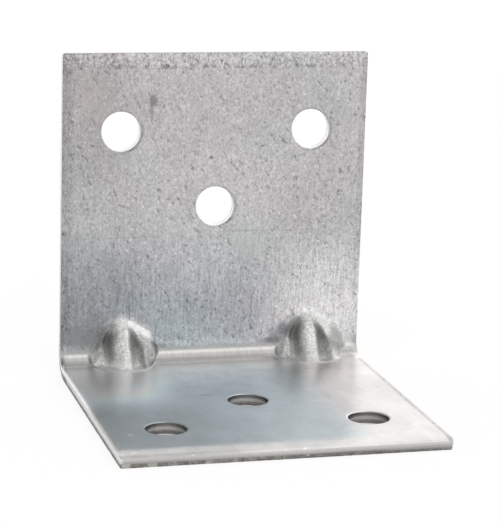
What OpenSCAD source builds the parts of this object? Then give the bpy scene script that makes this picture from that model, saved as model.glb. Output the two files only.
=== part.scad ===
// Corner brace bracket: one piece of galvanised sheet, folded at a right angle, with three screw
// holes in each leg and two stiffening ribs pressed across the bend from outside.
//
// The base lies on the XY plane and reaches towards -Y. The upright stands at the +Y end, with its
// back face to the wall. X runs across the bracket and is 0 at mid width.

/* [Legs] */
// Width of both legs, across the bracket
bracket_w = 40; // [38:0.5:80]
// Height of the upright leg, from the underside of the base
upright_h = 41.8; // [38:0.1:80]
// Reach of the base leg, from the back face of the upright
base_d = 39.1; // [37:0.1:80]
// Thickness of the sheet
sheet_t = 1.5; // [1.2:0.1:2]
// Radius inside the bend
bend_r = 1.8; // [1.4:0.1:2.2]
// Radius of the four free corners of the legs, seen flat
corner_r = 0.6; // [0.5:0.1:3]
// Radius of the sheared edges on the inner faces
edge_r = 0.3; // [0.1:0.05:0.4]

/* [Screw holes] */
// Diameter of the screw holes
hole_d = 5; // [3:0.1:7]
// Spacing of the outer two holes of a leg, centre to centre
hole_pitch = 25; // [20:0.5:30]
// From the top edge of the upright to the centres of its outer holes
upright_margin = 9.9; // [6:0.1:12]
// From the front edge of the base to the centres of its outer holes
base_margin = 9.4; // [6:0.1:12]
// From the outer holes of the upright back to its middle hole
upright_step = 9.9; // [8:0.1:12]
// From the outer holes of the base back to its middle hole
base_step = 9.6; // [8:0.1:12]

/* [Pressed ribs] */
// Spacing of the two ribs, centre to centre
rib_pitch = 25; // [18:0.5:27]
// Sideways offset of the pair of ribs from mid width
rib_shift = 0.3; // [-1:0.1:1]
// Rise of a rib up the inner face of the upright
rib_rise = 5.9; // [5:0.1:7]
// Reach of a rib along the inner face of the base
rib_reach = 4; // [3.6:0.1:6]
// Radius of a rib's crest
crest_r = 1; // [0.7:0.05:1.2]
// Angle of the crest's flanks from the line that it is pressed along
flank_angle = 38; // [30:1:45]
// Half width of a rib over its shoulders
shoulder_x = 4.2; // [3.8:0.1:4.6]
// Radius of the shoulders
shoulder_r = 1.1; // [0.8:0.05:1.2]
// Drop of the shoulders below the crest
shoulder_drop = 1.3; // [1:0.05:1.6]
// Drop of the flute floors below the crest
flute_drop = 1.9; // [1.5:0.05:2]
// Nose radius of the hollow that the punch leaves outside
punch_r = 0.45; // [0.3:0.05:0.6]
// Thickness that the sheet keeps at the crest
crest_t = 1.25; // [1:0.05:1.5]

/* [Hidden] */
$fn = 64;

// Length that cuts run past the surface they start from
over = 1;
bend_outer_r = bend_r + sheet_t;
// The ridge line of a rib runs from the upright down to the base at this angle from upright
rib_angle = atan(rib_reach / rib_rise);
// Distance of the ridge line from the corner where the inner faces would meet
crest_h = rib_rise * sin(rib_angle);
rib_run = 2 * (rib_rise + rib_reach);
shoulder_h = crest_h - shoulder_drop;
flute_h = crest_h - flute_drop;
// How deep the rib sections reach behind the inner corner, well past the heel
root_h = -3 * sheet_t;
// Flat steps that the arc of a crest or a punch nose is made of
nose_steps = 14;
rib_places = [rib_shift - rib_pitch / 2, rib_shift + rib_pitch / 2];

steel = [0.70, 0.72, 0.73];

// Side view of the folded sheet with Y to the right and Z up, heel at the origin
module folded_profile() {
    translate([-sheet_t, bend_outer_r])
        square([sheet_t, upright_h - bend_outer_r]);
    translate([-base_d, 0])
        square([base_d - bend_outer_r, sheet_t]);
    intersection() {
        translate([-bend_outer_r, 0])
            square(bend_outer_r);
        translate([-bend_outer_r, bend_outer_r])
            difference() {
                circle(bend_outer_r);
                circle(bend_r);
            }
    }
}

// Takes a 2D side view and gives it the width w, centred on X = 0
module across(w) {
    rotate([90, 0, 90])
        linear_extrude(height = w, center = true)
            children();
}

// What is cut off a square corner at the origin to round it: the material lies at -X and +Y
module corner_waste(r) {
    difference() {
        translate([-r, -over])
            square([r + over, r + over]);
        translate([-r, r])
            circle(r);
    }
}

// Rounds the edge of the right-hand side, along both inner faces and through the bend
module side_edge_waste() {
    straight_up = upright_h - bend_outer_r + over;
    straight_out = base_d - bend_outer_r + over;
    translate([bracket_w / 2, -sheet_t, bend_outer_r])
        linear_extrude(height = straight_up)
            corner_waste(edge_r);
    translate([bracket_w / 2, -bend_outer_r, sheet_t])
        rotate([90, 0, 0])
            linear_extrude(height = straight_out)
                mirror([0, 1])
                    corner_waste(edge_r);
    translate([0, -bend_outer_r, bend_outer_r])
        rotate([0, 90, 0])
            rotate_extrude(angle = 90)
                translate([bend_r, bracket_w / 2])
                    rotate(-90)
                        mirror([1, 0])
                            corner_waste(edge_r);
}

// Rounds the inner corners of the two free edges: the top of the upright and the front of the base
module end_edge_waste() {
    across(bracket_w + 2 * over)
        translate([-sheet_t, upright_h])
            mirror([1, 0])
                mirror([0, 1])
                    corner_waste(edge_r);
    across(bracket_w + 2 * over)
        translate([-base_d, sheet_t])
            mirror([1, 0])
                mirror([0, 1])
                    corner_waste(edge_r);
}

// Rounds the free corner on the right-hand side of each leg, seen flat
module leg_corner_waste() {
    translate([bracket_w / 2, -base_d, -over])
        linear_extrude(height = sheet_t + 2 * over)
            corner_waste(corner_r);
    translate([bracket_w / 2, over, upright_h])
        rotate([90, 0, 0])
            linear_extrude(height = sheet_t + 2 * over)
                mirror([0, 1])
                    corner_waste(corner_r);
}

// A nose of radius r whose top is at height h, with straight flanks that run down to root_h
module nosed_wedge(h, r) {
    sweep = 180 - 2 * flank_angle;
    turns = [for (i = [0:nose_steps]) flank_angle + sweep * i / nose_steps];
    nose = [for (a = turns) [r * cos(a), h - r + r * sin(a)]];
    foot_x = nose[0].x + (nose[0].y - root_h) * tan(flank_angle);
    polygon(concat([[foot_x, root_h]], nose, [[-foot_x, root_h]]));
}

// Section of a rib across its ridge line: the crest, a flute on each side, then the shoulders
module rib_section() {
    intersection() {
        nosed_wedge(crest_h, crest_r);
        translate([-shoulder_x, root_h])
            square([2 * shoulder_x, crest_h - root_h]);
    }
    translate([shoulder_r - shoulder_x, root_h])
        square([2 * (shoulder_x - shoulder_r), flute_h - root_h]);
    for (side = [-1, 1])
        translate([side * (shoulder_x - shoulder_r), 0]) {
            translate([0, shoulder_h - shoulder_r])
                circle(shoulder_r);
            translate([-shoulder_r, root_h])
                square([2 * shoulder_r, shoulder_h - shoulder_r - root_h]);
        }
}

// Section of the hollow behind a rib: the punch's nose, in a wider and shallower dish
module hollow_section() {
    dish_x = shoulder_x - sheet_t;
    dish_h = shoulder_h - sheet_t;
    dish_foot_x = dish_x + (dish_h - root_h) * tan(flank_angle);
    nosed_wedge(crest_h - crest_t, punch_r);
    polygon([[-dish_foot_x, root_h], [dish_foot_x, root_h], [dish_x, dish_h], [-dish_x, dish_h]]);
}

// Runs a rib section along the ridge line, through the corner where the inner faces would meet
module along_ridge() {
    translate([0, -sheet_t, sheet_t])
        rotate([-rib_angle, 0, 0])
            linear_extrude(height = rib_run, center = true)
                mirror([0, 1])
                    children();
}

// The bulge of a rib on the inside of the bend, from mid sheet outwards
module rib_bulge() {
    intersection() {
        along_ridge()
            rib_section();
        translate([-bracket_w, -sheet_t / 2 - rib_run, sheet_t / 2])
            cube([2 * bracket_w, rib_run, rib_run]);
    }
}

module screw_holes() {
    upright_row = upright_h - upright_margin;
    base_row = base_d - base_margin;
    upright_spots = [
        [-hole_pitch / 2, upright_row],
        [hole_pitch / 2, upright_row],
        [0, upright_row - upright_step],
    ];
    base_spots = [
        [-hole_pitch / 2, base_row],
        [hole_pitch / 2, base_row],
        [0, base_row - base_step],
    ];
    for (spot = upright_spots)
        translate([spot.x, over, spot.y])
            rotate([90, 0, 0])
                cylinder(h = sheet_t + 2 * over, d = hole_d);
    for (spot = base_spots)
        translate([spot.x, -spot.y, -over])
            cylinder(h = sheet_t + 2 * over, d = hole_d);
}

module bracket() {
    color(steel)
        translate([0, base_d / 2, 0])
            difference() {
                union() {
                    across(bracket_w)
                        folded_profile();
                    for (x = rib_places)
                        translate([x, 0, 0])
                            rib_bulge();
                }
                for (x = rib_places)
                    translate([x, 0, 0])
                        along_ridge()
                            hollow_section();
                screw_holes();
                end_edge_waste();
                for (side = [0, 1])
                    mirror([side, 0, 0]) {
                        side_edge_waste();
                        leg_corner_waste();
                    }
            }
}

bracket();
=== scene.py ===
"""Looks of a corner brace bracket: one folded sheet of zinc-coated steel, its studio and its camera.

The sheet is built from its flat pattern. A point of the pattern has three coordinates in
millimetres: u across the bracket, v from the top edge of the upright down and out along the base,
and d from the inner face into the sheet. FoldedSheet turns them into the shared frame.
"""

import logging
import math
from dataclasses import dataclass, field
from enum import Enum

import bpy
import numpy as np
from mathutils import Matrix, Vector, noise
from mathutils.geometry import delaunay_2d_cdt


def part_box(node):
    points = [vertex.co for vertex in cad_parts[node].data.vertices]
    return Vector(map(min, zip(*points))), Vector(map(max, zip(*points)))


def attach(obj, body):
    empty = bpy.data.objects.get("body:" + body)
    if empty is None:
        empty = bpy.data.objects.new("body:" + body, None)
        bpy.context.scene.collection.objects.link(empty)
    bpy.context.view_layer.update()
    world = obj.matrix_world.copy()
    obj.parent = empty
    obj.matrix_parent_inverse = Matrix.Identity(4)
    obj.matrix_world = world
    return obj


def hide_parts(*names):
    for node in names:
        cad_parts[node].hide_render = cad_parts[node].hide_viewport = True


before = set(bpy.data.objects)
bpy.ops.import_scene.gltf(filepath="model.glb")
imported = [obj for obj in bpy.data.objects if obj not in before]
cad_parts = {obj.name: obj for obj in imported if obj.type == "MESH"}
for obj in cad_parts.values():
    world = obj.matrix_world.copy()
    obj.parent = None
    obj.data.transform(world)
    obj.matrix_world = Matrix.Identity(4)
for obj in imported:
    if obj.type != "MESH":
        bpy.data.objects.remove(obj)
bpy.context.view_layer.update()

MM = 0.001
FLAT_ATTRIBUTE = "flat"
CUT_ATTRIBUTE = "cut"
STRAIN_ATTRIBUTE = "strain"
FLUTE_ATTRIBUTE = "flute"
CREASE_SHADE_ATTRIBUTE = "crease"
WING_ATTRIBUTE = "wing"
LOBE_ATTRIBUTE = "lobe"
WHITE = (1.0, 1.0, 1.0)
ROW_PITCH = 0.866
WELD = 1e-7
INNER_TRIANGLES = 1

Colour = tuple[float, float, float]
Ramp = tuple[float, float]

log = logging.getLogger("bracket")


class Face(Enum):
    """The two faces of the sheet."""

    INNER = 0
    OUTER = 1


def smooth_step(x: np.ndarray, low: float, high: float) -> np.ndarray:
    """Rises smoothly from 0 to 1.

    Args:
        x: The values.
        low: Where the rise begins.
        high: Where it ends.

    Returns:
        The share that is reached at each value.
    """
    t = np.clip((x - low) / (high - low), 0.0, 1.0)
    return t * t * (3.0 - 2.0 * t)


def smooth_max(a: np.ndarray, b: np.ndarray, blend: float) -> np.ndarray:
    """The larger of two heights, with their meeting line rounded.

    Args:
        a: One height.
        b: The other height.
        blend: Height over which the meeting is rounded.

    Returns:
        The joined height.
    """
    share = np.clip(0.5 + 0.5 * (a - b) / blend, 0.0, 1.0)
    return b + (a - b) * share + blend * share * (1.0 - share)


def smooth_min(a: np.ndarray, b: np.ndarray, blend: float) -> np.ndarray:
    """The smaller of a and b, with their meeting line rounded over the height blend."""
    return -smooth_max(-a, -b, blend)


def relief(points: np.ndarray, size: float, octaves: int = 2) -> np.ndarray:
    """Smooth noise from about -1 to 1.

    Args:
        points: Positions in millimetres, one row each.
        size: Width of the largest lumps in millimetres.
        octaves: How many finer layers are added, each half as wide and half as high.

    Returns:
        One value for each position.
    """
    total = np.zeros(len(points))
    for octave in range(octaves):
        scaled = points * (2.0**octave / size)
        layer = np.array([noise.noise(Vector(p)) for p in scaled])
        total += layer / 2.0**octave
    return total


@dataclass(frozen=True)
class Rib:
    """A stiffening rib, pressed across the bend by a punch from outside.

    Its ridge line runs from the upright down to the base. Sizes are in millimetres: place, rise and
    reach along the legs, the others in the section across the ridge line.
    """

    place: float
    rise: float
    reach: float
    crest_x: float = 0.8
    crest_left: float = 0.1
    crest_right: float = -0.12
    crest_crown: float = 0.2
    flank_slope: float = 1.9
    crest_blend: float = 0.4
    lobe_blend: float = 0.35
    side_blend: float = 1.0
    shoulder_blend: float = 0.3
    floor_blend: float = 0.5
    flute_drop: float = 1.8
    shoulder_at: float = 2.7
    shoulder_drop: float = 1.2
    shoulder_fall: float = 0.12
    shoulder_wall: float = 1.3
    shoulder_end: float = 4.55
    side_slope: float = 1.9
    left_slope: float = 0.78
    left_end: float = 4.05
    right_tent: float = 0.72
    right_ledge: float = 1.0
    flute_left: float = 2.7
    flute_low: float = -1.8
    # Strength of the painted light and shade on the right wing and shoulder, and of most of the painted
    # shade in the crease.
    painted_shading: float = 1.0
    wing_depth: float = 1.1
    wing_end: float = 5.3
    wing_gap: float = 0.25
    wing_blend: float = 0.7
    tent_slope: float = 0.84
    tent_nose: float = 0.75
    tent_fade: float = 1.3
    foot_x: float = 4.6
    foot_left: float = 0.92
    foot_blend: float = 0.8
    ledge: float = 1.25
    ledge_growth: float = 0.3
    foot_ledge: float = 0.9
    crest_t: float = 1.25
    punch_r: float = 0.45
    punch_slope: float = 1.28
    dish_x: float = 2.7
    dish_drop: float = 2.8
    dish_blend: float = 0.4

    @property
    def run(self) -> float:
        """Length of the ridge line between the two inner faces."""
        return math.hypot(self.rise, self.reach)

    @property
    def height(self) -> float:
        """Distance of the ridge line from the corner where the inner faces would meet."""
        return self.rise * self.reach / self.run

    def middle(self, e: np.ndarray) -> np.ndarray:
        """Height of the section half way down the ridge.

        Args:
            e: Distance to the side of the ridge line.

        Returns:
            The height along the normal of the ridge line.
        """
        top = self.height - self.crest_crown * e**2
        crest_x = self.crest_x + np.where(e < 0.0, self.crest_left, self.crest_right)
        flank = self.height - self.flank_slope * (np.abs(e) - crest_x)
        crest = smooth_min(top, flank, self.crest_blend)
        past = np.abs(e) - self.shoulder_at
        lobe = self.height - self.shoulder_drop - self.shoulder_fall * past**2
        wall = self.height - self.shoulder_drop + self.shoulder_wall * past
        slope = self.side_slope * np.where(e < 0.0, self.left_slope, 1.0)
        side = slope * (np.where(e < 0.0, self.left_end, self.shoulder_end) - np.abs(e))
        shoulder = smooth_min(smooth_min(lobe, wall, self.lobe_blend), side, self.side_blend)
        floor = self.height - self.flute_drop
        return smooth_max(smooth_max(crest, shoulder, self.shoulder_blend), floor, self.floor_blend)

    def inner(self, e: np.ndarray, w: np.ndarray) -> np.ndarray:
        """Height of the rib's inner surface above the corner where the inner faces would meet.

        Args:
            e: Distance to the side of the ridge line.
            w: Distance along the ridge line, up from the level of that corner.

        Returns:
            The height along the normal of the ridge line.
        """
        away = np.sqrt(e**2 + self.tent_nose**2) - self.tent_nose
        slope = self.side_slope * np.where(e < 0.0, self.left_slope, 1.0)
        side = slope * (np.where(e < 0.0, self.left_end, self.shoulder_end) + self.wing_gap - np.abs(e))
        fall = self.tent_slope * np.where(e > 0.0, self.right_tent, 1.0)
        tent = (self.rise - fall * away) * self.reach / self.run
        wing = np.where(e < 0.0, side, self.side_slope * (self.wing_end - e))
        tent = smooth_min(tent, wing, self.wing_blend)
        foot_x = self.foot_x * np.where(e < 0.0, self.foot_left, 1.0)
        arc = np.sqrt(np.clip(1.0 - (e / foot_x) ** 2, 0.0, 1.0))
        foot = smooth_min(self.reach * arc * self.rise / self.run, side, self.foot_blend)
        tent_w = tent * self.rise / self.reach
        foot_w = foot * self.reach / self.rise
        ledge = self.ledge + self.ledge_growth * np.abs(e) + self.right_ledge * np.clip(e - 0.8, 0.0, 1.4)
        at_tent = smooth_step(w, tent_w - ledge, tent_w - ledge + self.tent_fade)
        at_foot = smooth_step(-w, foot_w - self.foot_ledge, foot_w)
        middle = self.middle(e)
        height = middle + (tent - middle) * at_tent
        return height + (foot - height) * at_foot

    def outer(self, e: np.ndarray) -> np.ndarray:
        """Height of the hollow that the punch leaves outside: its nose, in a wider dish.

        Args:
            e: Distance to the side of the ridge line.

        Returns:
            The height along the normal of the ridge line.
        """
        nose = np.sqrt(e**2 + self.punch_r**2) - self.punch_r
        nose = self.height - self.crest_t - self.punch_slope * nose
        dish = self.height - self.dish_drop - self.punch_slope * np.maximum(np.abs(e) - self.dish_x, 0.0)
        return smooth_max(nose, dish, self.dish_blend)

    def flute_share(self, e: np.ndarray, w: np.ndarray) -> np.ndarray:
        """How deep a point of the inner surface lies in one of the two flutes.

        Args:
            e: Distance to the side of the ridge line.
            w: Distance along the ridge line.

        Returns:
            The share, from 0 to 1.
        """
        side, right = np.abs(e), e > 0.0
        drop = self.height - self.inner(e, w)
        share = smooth_step(drop, 0.1, 0.5)
        share *= np.where(right, smooth_step(side, 0.65, 1.05), smooth_step(side, 0.85, 1.65))
        soft = np.where(right, 0.25, 0.8)
        far_side = np.where(right, self.shoulder_at, self.flute_left)
        share *= smooth_step(-side, -far_side - soft, -far_side + 0.5 + soft)
        top = self.side_top(side, np.where(right, 1.7, 1.1), 0.85)
        share *= smooth_step(-w, -top, -top + 0.6)
        share *= smooth_step(w - 0.2 * side, self.flute_low, self.flute_low + 2.0)
        return share * np.where(right, 0.75, 1.0)

    def side_top(self, side: np.ndarray, slope: np.ndarray, start: float) -> np.ndarray:
        """Place along the ridge line where the wings begin, lower down further to the side.

        Args:
            side: Distance from the ridge line, either way.
            slope: How fast that place falls.
            start: Distance from which it falls.

        Returns:
            The place, as a distance along the ridge line.
        """
        fall = slope * np.maximum(side - start, 0.0)
        return (self.rise - self.wing_depth - fall) * self.rise / self.run

    def crease_shade(self, e: np.ndarray, w: np.ndarray, gap: np.ndarray) -> np.ndarray:
        """Painted shade in the crease on the right-hand side and in the seam at the foot.

        Args:
            e: Distance to the side of the ridge line.
            w: Distance along the ridge line.
            gap: Height of the rib's surface above the unpressed sheet.

        Returns:
            The share, from 0 to 1.
        """
        seam = np.clip(1.0 - np.abs(gap - 0.4) / 0.8, 0.0, 1.0)
        seam *= smooth_step(e, self.shoulder_end - 1.5, self.shoulder_end - 0.7)
        seam *= smooth_step(-w, -2.6, -1.6)
        foot = np.clip(1.0 - np.abs(gap) / 0.3, 0.0, 1.0) * smooth_step(-w, 0.8, 1.8)
        return np.maximum(seam * (0.3 + 0.7 * self.painted_shading), 0.1 * foot)

    def side_shares(self, e: np.ndarray, w: np.ndarray, share: np.ndarray) -> tuple[np.ndarray, np.ndarray]:
        """How far a point belongs to the wings beside the crest and to the shoulders below them.

        Args:
            e: Distance to the side of the ridge line.
            w: Distance along the ridge line.
            share: How far the point has been pressed, from 0 to 1.

        Returns:
            The wing, positive where light is painted on it and negative where shade is painted on it, and
            the shoulder.
        """
        side, right = np.abs(e), e > 0.0
        low = self.side_top(side, np.where(right, 0.7, 1.1), 0.9)
        wing = share * smooth_step(w, low - 0.9, low + 0.1)
        shoulder = self.painted_shading * share * smooth_step(side, 1.9, 2.7) * (1.0 - wing)
        lit = wing * np.where(right, self.painted_shading, -1.0) * smooth_step(side, 0.5, 1.3)
        # On the right, the shoulder's share is taken off the wing as painted shade.
        return lit - np.where(right, 0.85, 0.0) * shoulder, shoulder


@dataclass(frozen=True)
class CutEdge:
    """Section of an edge that a tool has sheared: rolled over, then burnished, then torn.

    Depths and insets are in millimetres, from the inner face and from the edge's own line.
    """

    roll_drop: float
    roll_width: float
    burnish_end: float = 0.95
    edge_round: float = 0.13
    torn_lean: float = 0.07
    roll_rows: int = 8
    round_rows: int = 4
    burnish_rows: int = 4
    torn_rows: int = 8

    def section(self, sheet_t: float) -> np.ndarray:
        """Rows of the section, from the inner face round the edge to the outer face.

        Args:
            sheet_t: Thickness of the sheet.

        Returns:
            Inset and depth of each row.
        """
        rows = []
        for i in range(self.roll_rows + 1):
            inset = (1.0 - i / self.roll_rows) ** 1.5
            reach = self.edge_round + (self.roll_width - self.edge_round) * inset
            rows.append((reach, self.roll_drop * (1.0 - inset) ** 2.6))
        for i in range(1, self.round_rows + 1):
            turn = math.radians(90.0 * i / self.round_rows)
            depth = self.roll_drop + self.edge_round * (1.0 - math.cos(turn))
            rows.append((self.edge_round * (1.0 - math.sin(turn)), depth))
        start = self.roll_drop + self.edge_round
        for i in range(1, self.burnish_rows + 1):
            rows.append((0.0, start + (self.burnish_end - start) * i / self.burnish_rows))
        for i in range(1, self.torn_rows + 1):
            share = i / self.torn_rows
            rows.append((self.torn_lean * share, self.burnish_end + (sheet_t - self.burnish_end) * share))
        return np.array(rows)

    @property
    def first_cut_row(self) -> int:
        """Number of the row where the rolled-over surface ends and the cut begins."""
        return self.roll_rows + self.round_rows

    @property
    def first_torn_row(self) -> int:
        """Number of the row where the burnished band ends and the torn one begins."""
        return self.first_cut_row + self.burnish_rows


@dataclass(frozen=True)
class ScrewHole:
    """A punched hole, by its centre on the flat pattern and its radius, in millimetres."""

    u: float
    v: float
    r: float = 2.5
    burr: float = 0.0
    sag: float = 0.0
    steps: int = 84

    def holds(self, points: np.ndarray, rim: np.ndarray) -> np.ndarray:
        """Whether points of the pattern lie inside the rim.

        Args:
            points: The points, as rows of u and v.
            rim: The rim's points, which go round the centre.

        Returns:
            True for each point inside.
        """
        rim_u, rim_v = (rim - [self.u, self.v]).T
        off_u, off_v = (points - [self.u, self.v]).T
        edge = np.interp(
            np.arctan2(off_v, off_u), np.arctan2(rim_v, rim_u), np.hypot(rim_u, rim_v), period=2 * math.pi)
        return np.hypot(off_u, off_v) < edge


@dataclass
class MeshDraft:
    """Points and faces of a mesh while it is being put together."""

    flat: list = field(default_factory=list)
    triangles: list = field(default_factory=list)
    cut: list = field(default_factory=list)

    def add_points(self, rows: np.ndarray) -> np.ndarray:
        """Adds points.

        Args:
            rows: The points, as rows of u, v and d.

        Returns:
            Their numbers.
        """
        start = sum(len(r) for r in self.flat)
        self.flat.append(np.asarray(rows, float))
        return np.arange(start, start + len(rows))

    def add_triangles(self, corners: np.ndarray, cut: float) -> None:
        """Adds triangles.

        Args:
            corners: Three point numbers for each.
            cut: How far they are part of a cut edge, 0 or 1.
        """
        self.triangles.append(np.asarray(corners, int))
        self.cut.append(np.full(len(corners), cut))

    def add_strip(self, first: np.ndarray, second: np.ndarray, cut: float) -> None:
        """Joins two closed loops with a ring of triangles.

        Args:
            first: Point numbers of one loop.
            second: Point numbers of the other, which has as many.
            cut: How far the ring is part of a cut edge, 0 or 1.
        """
        a, b = first, second
        a_next, b_next = np.roll(a, -1), np.roll(b, -1)
        self.add_triangles(np.stack([a, b, b_next], 1), cut)
        self.add_triangles(np.stack([a, b_next, a_next], 1), cut)


@dataclass
class FoldedSheet:
    """The bracket itself: one blank, punched, folded at a right angle, with two pressed ribs.

    Sizes are in millimetres. width, height and reach come from the frame.
    """

    width: float
    height: float
    reach: float
    sheet_t: float = 1.5
    bend_r: float = 1.8
    corner_r: float = 0.35
    hole_pitch: float = 25.0
    upright_margin: float = 9.9
    upright_step: float = 9.9
    base_margin: float = 9.4
    base_step: float = 9.6
    end_cut: CutEdge = CutEdge(roll_drop=0.2, roll_width=3.1, edge_round=0.22)
    side_cut: CutEdge = CutEdge(roll_drop=0.1, roll_width=0.75)
    hole_cut: CutEdge = CutEdge(
        roll_drop=0.05, roll_width=0.3, edge_round=0.08, torn_lean=-0.07, roll_rows=3, round_rows=3,
        burnish_rows=3, torn_rows=4,
    )
    left_rib: Rib = Rib(place=-12.15, rise=6.25, reach=4.4)
    right_rib: Rib = Rib(
        place=12.9, rise=6.1, reach=4.15, shoulder_at=2.85, shoulder_end=5.0, wing_end=5.7, flute_left=2.45,
        flute_low=-2.3, painted_shading=0.0)
    end_wave: float = 0.11
    torn_relief: float = 0.06
    hole_wave: float = 0.07
    bore_relief: float = 0.03
    sag_turn: float = 62.0
    rib_blend: float = 0.45
    left_blend: float = 0.45
    foot_blend: float = 0.35
    side_waver: float = 0.13
    ridge_waver: float = 0.2
    inner_relief: float = 0.055
    outer_relief: float = 0.02
    rib_reach: float = 6.0
    rib_mesh_reach: float = 5.3
    edge_step: float = 0.3
    corner_steps: int = 6
    face_gap: float = 0.17
    sharp_turn: float = 50.0
    plate_step: float = 0.8
    bend_step: float = 0.2
    bend_side_step: float = 0.5
    bend_margin: float = 0.8
    rib_step: float = 0.14
    rib_mesh_rise: float = 5.2
    rib_mesh_foot: float = 4.4
    rib_gap: float = 0.25
    rib_bend_gap: float = 0.12
    outer_coarseness: float = 1.35

    @property
    def upright_run(self) -> float:
        """Flat length of the upright on the inner face, down to the bend."""
        return self.height - self.sheet_t - self.bend_r

    @property
    def bend_run(self) -> float:
        """Length of the bend's arc on the inner face."""
        return self.bend_r * math.pi / 2

    @property
    def base_start(self) -> float:
        """Where the flat of the base begins on the pattern."""
        return self.upright_run + self.bend_run

    @property
    def run(self) -> float:
        """Whole length of the pattern, from the upright's top to the base's front."""
        return self.base_start + self.reach - self.sheet_t - self.bend_r

    @property
    def ribs(self) -> tuple[Rib, Rib]:
        """The two pressed ribs."""
        return self.left_rib, self.right_rib

    @property
    def holes(self) -> list[ScrewHole]:
        """Places the six screw holes on the flat pattern.

        Returns:
            The three holes of the upright, then the three of the base.
        """
        side = self.hole_pitch / 2
        top_row = self.upright_margin
        front_row = self.run - self.base_margin
        return [
            ScrewHole(-side, top_row, burr=0.05, sag=0.2),
            ScrewHole(side, top_row, burr=0.17, sag=0.22),
            ScrewHole(0.0, top_row + self.upright_step, burr=0.04, sag=0.2),
            ScrewHole(-side, front_row),
            ScrewHole(side, front_row),
            ScrewHole(0.0, front_row - self.base_step),
        ]

    def fold(self, flat: np.ndarray) -> np.ndarray:
        """Bends rows of u, v, d into x, y, z, with the ribs still unpressed.

        Args:
            flat: Points of the pattern, in millimetres.

        Returns:
            Points in millimetres, with the heel of the bracket at y = 0.
        """
        u, v, d = flat.T
        inner_y, inner_z = -self.sheet_t, self.sheet_t
        centre_y, centre_z = inner_y - self.bend_r, inner_z + self.bend_r
        turn = np.clip((v - self.upright_run) / self.bend_r, 0.0, math.pi / 2)
        radius = self.bend_r + d
        y = centre_y + radius * np.cos(turn) - np.maximum(v - self.base_start, 0.0)
        z = centre_z - radius * np.sin(turn) + np.maximum(self.upright_run - v, 0.0)
        return np.stack([u, y, z], 1)

    def press(self, flat: np.ndarray, points: np.ndarray) -> tuple[np.ndarray, dict[str, np.ndarray]]:
        """Pushes the ribs through the bend, along the normals of their ridge lines.

        Args:
            flat: Points of the pattern.
            points: The same points, folded.

        Returns:
            The pressed points, and by name the attributes that the finish reads: how far each has
            moved, how deep it lies in a flute, how much painted shade it gets in a crease, and how far
            it is part of a wing or a shoulder. The finish paints shade into the flutes and creases,
            and light and shade onto the wings and shoulders.
        """
        moved = points.copy()
        strain, flute, crease, wing, lobe = np.zeros((5, len(points)))
        corner = np.array([-self.sheet_t, self.sheet_t])
        inner = flat[:, 2] < self.sheet_t / 2
        for rib in self.ribs:
            near = np.abs(points[:, 0] - rib.place) < self.rib_reach
            q = points[:, 1:] - corner
            normal = np.array([-rib.rise, rib.reach]) / rib.run
            along = np.array([rib.reach, rib.rise]) / rib.run
            e = points[:, 0] - rib.place
            h, w = q @ normal, q @ along
            e[near] += self.side_waver * relief(flat[near] + 20.0, 2.4)
            w[near] += self.ridge_waver * relief(flat[near] + 35.0, 2.6)
            target = np.where(inner, rib.inner(e, w), rib.outer(e))
            lumps = np.where(inner[near], self.inner_relief, self.outer_relief)
            target[near] += lumps * relief(flat[near] + 50.0, 0.55)
            blend = self.rib_blend + self.left_blend * smooth_step(-e, 0.6, 2.4)
            blend = blend + self.foot_blend * smooth_step(-w, 0.5, 2.5)
            risen = smooth_max(h, target, blend) - h
            risen[~near] = 0.0
            moved[:, 1:] += risen[:, None] * normal
            share = smooth_step(risen, 0.04, 0.4)
            lit, shoulder = rib.side_shares(e, w, share)
            strain = np.maximum(strain, share)
            flute = np.maximum(flute, rib.flute_share(e, w) * near)
            crease = np.maximum(crease, rib.crease_shade(e, w, target - h) * near * inner)
            wing += lit
            lobe = np.maximum(lobe, shoulder)
        return moved, {
            STRAIN_ATTRIBUTE: strain, FLUTE_ATTRIBUTE: flute, CREASE_SHADE_ATTRIBUTE: crease,
            WING_ATTRIBUTE: wing, LOBE_ATTRIBUTE: lobe,
        }

    def place(self, flat: np.ndarray) -> tuple[np.ndarray, dict[str, np.ndarray]]:
        """Folds and presses points, and moves them into the shared frame.

        Args:
            flat: Points of the pattern, in millimetres.

        Returns:
            The points in metres, and the attributes that the pressing gives them.
        """
        points, shares = self.press(flat, self.fold(flat))
        points[:, 1] += self.reach / 2
        return points * MM, shares

    def outline(self) -> tuple[np.ndarray, np.ndarray, np.ndarray]:
        """Directions of the blank's outline, as shares that any inset can use.

        Returns:
            For each point, its place along the straight stretches, the turn of its corner arc,
            and how far it belongs to an end edge rather than a side edge.
        """
        half_u, half_v = self.width / 2 - self.corner_r, self.run / 2 - self.corner_r
        corners, turns = [], []
        for number, (su, sv) in enumerate([(1, 1), (-1, 1), (-1, -1), (1, -1)]):
            start = math.radians(90.0 * number)
            arc = start + np.radians(np.linspace(0.0, 90.0, self.corner_steps + 1))
            corners.append(np.tile([su * half_u, sv * half_v], (len(arc), 1)))
            turns.append(arc)
            end_u, end_v = [(-1, 1), (-1, -1), (1, -1), (1, 1)][number]
            length = abs(end_u - su) * half_u + abs(end_v - sv) * half_v
            steps = self.straight_steps(sv * half_v, end_v * half_v, length)
            path = np.array([su * half_u, sv * half_v]) + steps[:, None] * np.array(
                [(end_u - su) * half_u, (end_v - sv) * half_v])
            corners.append(path)
            turns.append(np.full(len(path), start + math.pi / 2))
        turn = np.concatenate(turns)
        return np.concatenate(corners), turn, np.sin(turn) ** 2

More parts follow.
